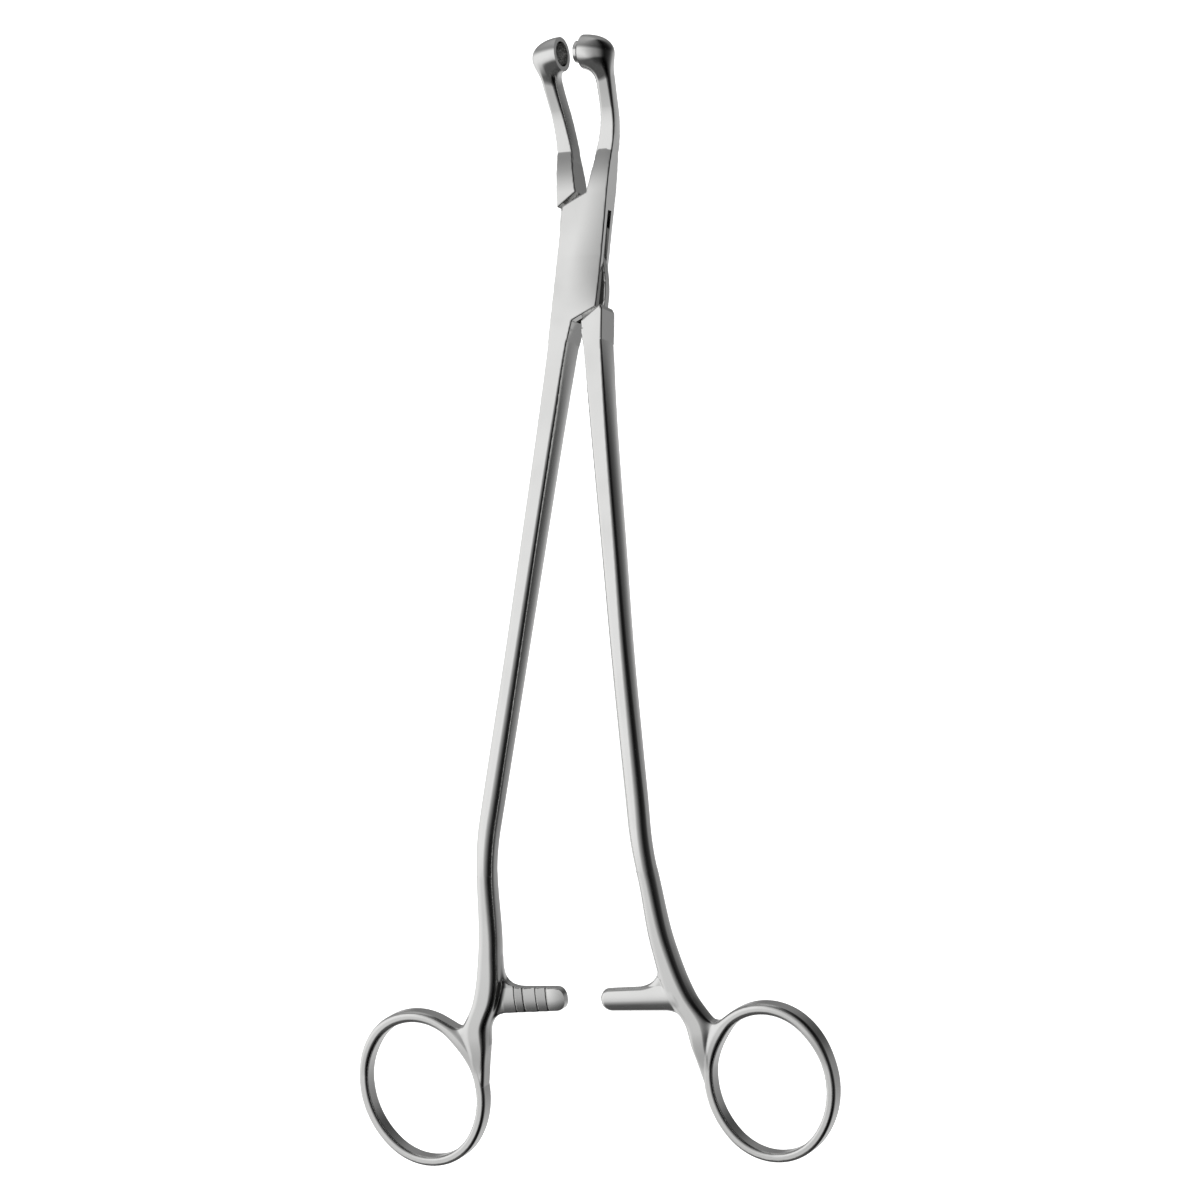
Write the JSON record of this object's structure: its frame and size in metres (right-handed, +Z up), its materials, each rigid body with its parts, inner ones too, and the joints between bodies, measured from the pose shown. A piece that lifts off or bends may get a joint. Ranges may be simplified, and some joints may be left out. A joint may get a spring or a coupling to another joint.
{
  "type": "biopsy forceps",
  "caption": "Ring-handled biopsy punch forceps: box-locked halves with a ratchet, and forward-bent jaws ending in a cup and a punch.",
  "frame": {"origin": "centre of the bounding box's footprint, on the surface that the forceps lies on", "axes": "+Y along the forceps towards the jaws, +X to the side of the jaw with the punch, +Z up out of the front face; the lock pin leans 6.4 degrees from +Z towards the jaws"},
  "size_m": [0.0996, 0.2118, 0.0198],
  "materials": {
    "satin_steel": "satin-polished stainless steel",
    "ground_steel": "fine-ground stainless steel"
  },
  "bodies": {
    "box_side": {"box_half": "satin_steel", "lock_pin": "satin_steel", "punch": "ground_steel", "punch_dowel": "satin_steel"},
    "tongue_side": {"tongue_half": "satin_steel"}
  },
  "joints": [
    {"name": "lock_hinge", "type": "hinge", "parent": "box_side", "child": "tongue_side", "pos_m": [0, 0.064, 0.00489], "axis": [0, 0.1107, 0.9939], "range_deg": [-7, 50]}
  ]
}
